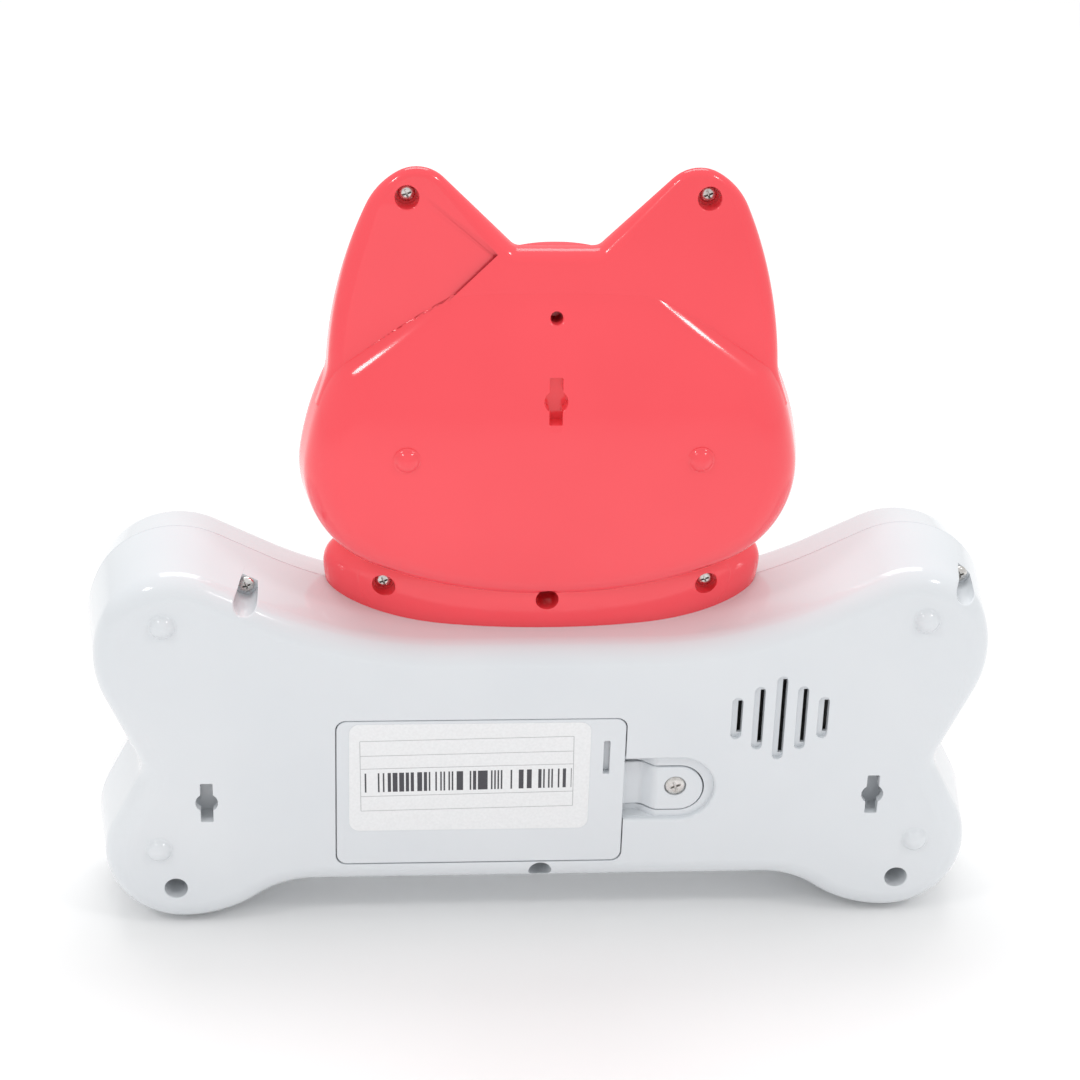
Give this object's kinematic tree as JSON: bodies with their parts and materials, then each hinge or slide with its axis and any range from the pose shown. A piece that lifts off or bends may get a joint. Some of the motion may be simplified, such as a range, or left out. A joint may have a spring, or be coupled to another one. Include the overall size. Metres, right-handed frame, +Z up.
{
  "type": "toy keyboard",
  "caption": "Battery toy piano with a cat-shaped head standing on a bone-shaped keyboard body, with a screwed battery door and speaker vent at the back.",
  "frame": {"origin": "middle of the bounding box at the base, on the surface that the toy stands on", "axes": "+Z up, +X to the right seen from the front, keys and face look along -Y, battery door looks along +Y"},
  "size_m": [0.2134, 0.044, 0.1867],
  "materials": {
    "white_gloss": "glossy moulded ABS",
    "pink_gloss": "glossy coral-pink moulded ABS",
    "label_paper": "coated label stock, blank ruled pattern",
    "screw_chrome": "nickel-plated self-tapping screws",
    "cell_jacket": "printed foil jacket",
    "contact_steel": "nickel-plated spring steel",
    "board_laminate": "solder-masked laminate",
    "contact_rubber": "silicone rubber",
    "black_resin": "moulded black resin",
    "speaker_metal": "pressed steel",
    "speaker_paper": "pressed pulp",
    "ferrite": "sintered ferrite",
    "eye_gloss": "glossy black",
    "nose_gloss": "glossy brown",
    "cheek_gloss": "glossy yellow",
    "lamp_clear": "tinted epoxy",
    "key_tint_1": "glossy moulded plastic",
    "key_tint_2": "glossy moulded plastic",
    "key_tint_3": "glossy moulded plastic",
    "key_tint_4": "glossy moulded plastic",
    "key_tint_5": "glossy moulded plastic",
    "key_tint_6": "glossy moulded plastic",
    "key_tint_7": "glossy moulded plastic",
    "key_tint_8": "glossy moulded plastic"
  },
  "bodies": {
    "casing": {"bone_back_shell": "white_gloss", "bone_front_shell": "white_gloss", "head_back_shell": "pink_gloss", "head_front_shell": "pink_gloss", "bone_screws": "screw_chrome", "ear_screws": "screw_chrome", "collar_screws": "screw_chrome", "neck_screw": "screw_chrome", "board_screws": "screw_chrome", "battery_cell_upper": "cell_jacket", "battery_cell_lower": "cell_jacket", "battery_contacts": "contact_steel", "battery_springs": "contact_steel", "key_axle": "contact_steel", "key_board": "board_laminate", "head_board": "board_laminate", "key_mat": "contact_rubber", "head_mat": "contact_rubber", "sound_chip": "black_resin", "board_components": "black_resin", "power_switch_body": "contact_steel", "speaker_frame": "speaker_metal", "speaker_cone": "speaker_paper", "speaker_magnet": "ferrite", "eye_left": "eye_gloss", "eye_right": "eye_gloss", "face_lamps": "lamp_clear"},
    "door": {"battery_door": "white_gloss", "door_label": "label_paper"},
    "captive_screw": {"door_screw": "screw_chrome"},
    "nose": {"nose_button": "nose_gloss"},
    "left_cheek": {"cheek_button_left": "cheek_gloss"},
    "right_cheek": {"cheek_button_right": "cheek_gloss"},
    "switch": {"power_switch_knob": "black_resin"},
    "key_1": {"key_1": "key_tint_1"},
    "key_2": {"key_2": "key_tint_2"},
    "key_3": {"key_3": "key_tint_3"},
    "key_4": {"key_4": "key_tint_4"},
    "key_5": {"key_5": "key_tint_5"},
    "key_6": {"key_6": "key_tint_6"},
    "key_7": {"key_7": "key_tint_7"},
    "key_8": {"key_8": "key_tint_8"}
  },
  "joints": [
    {"name": "door_swing", "type": "hinge", "parent": "casing", "child": "door", "pos_m": [0.0486, 0.02, 0.0372], "axis": [0, 0, -1], "range_deg": [0, 50]},
    {"name": "door_screw_turn", "type": "hinge", "parent": "door", "child": "captive_screw", "pos_m": [-0.0316, 0.0175, 0.0373], "axis": [0, 1, 0], "continuous": true},
    {"name": "key_1_press", "type": "hinge", "parent": "casing", "child": "key_1", "pos_m": [0, -0.012, 0.066], "axis": [1, 0, 0], "range_deg": [0, 2.5], "stiffness_Nm_per_rad": 0.4, "springref_deg": -1.15},
    {"name": "key_2_press", "type": "hinge", "parent": "casing", "child": "key_2", "pos_m": [0, -0.012, 0.066], "axis": [1, 0, 0], "range_deg": [0, 2.5], "stiffness_Nm_per_rad": 0.4, "springref_deg": -1.15},
    {"name": "key_3_press", "type": "hinge", "parent": "casing", "child": "key_3", "pos_m": [0, -0.012, 0.066], "axis": [1, 0, 0], "range_deg": [0, 2.5], "stiffness_Nm_per_rad": 0.4, "springref_deg": -1.15},
    {"name": "key_4_press", "type": "hinge", "parent": "casing", "child": "key_4", "pos_m": [0, -0.012, 0.066], "axis": [1, 0, 0], "range_deg": [0, 2.5], "stiffness_Nm_per_rad": 0.4, "springref_deg": -1.15},
    {"name": "key_5_press", "type": "hinge", "parent": "casing", "child": "key_5", "pos_m": [0, -0.012, 0.066], "axis": [1, 0, 0], "range_deg": [0, 2.5], "stiffness_Nm_per_rad": 0.4, "springref_deg": -1.15},
    {"name": "key_6_press", "type": "hinge", "parent": "casing", "child": "key_6", "pos_m": [0, -0.012, 0.066], "axis": [1, 0, 0], "range_deg": [0, 2.5], "stiffness_Nm_per_rad": 0.4, "springref_deg": -1.15},
    {"name": "key_7_press", "type": "hinge", "parent": "casing", "child": "key_7", "pos_m": [0, -0.012, 0.066], "axis": [1, 0, 0], "range_deg": [0, 2.5], "stiffness_Nm_per_rad": 0.4, "springref_deg": -1.15},
    {"name": "key_8_press", "type": "hinge", "parent": "casing", "child": "key_8", "pos_m": [0, -0.012, 0.066], "axis": [1, 0, 0], "range_deg": [0, 2.5], "stiffness_Nm_per_rad": 0.4, "springref_deg": -1.15},
    {"name": "nose_press", "type": "slide", "parent": "casing", "child": "nose", "axis": [0, 1, 0], "range_m": [0, 0.0012], "stiffness_N_per_m": 600, "springref_m": -0.0006},
    {"name": "left_cheek_press", "type": "slide", "parent": "casing", "child": "left_cheek", "axis": [0, 1, 0], "range_m": [0, 0.0012], "stiffness_N_per_m": 600, "springref_m": -0.0006},
    {"name": "right_cheek_press", "type": "slide", "parent": "casing", "child": "right_cheek", "axis": [0, 1, 0], "range_m": [0, 0.0012], "stiffness_N_per_m": 600, "springref_m": -0.0006},
    {"name": "switch_slide", "type": "slide", "parent": "casing", "child": "switch", "axis": [1, 0, 0], "range_m": [0, 0.005]}
  ]
}
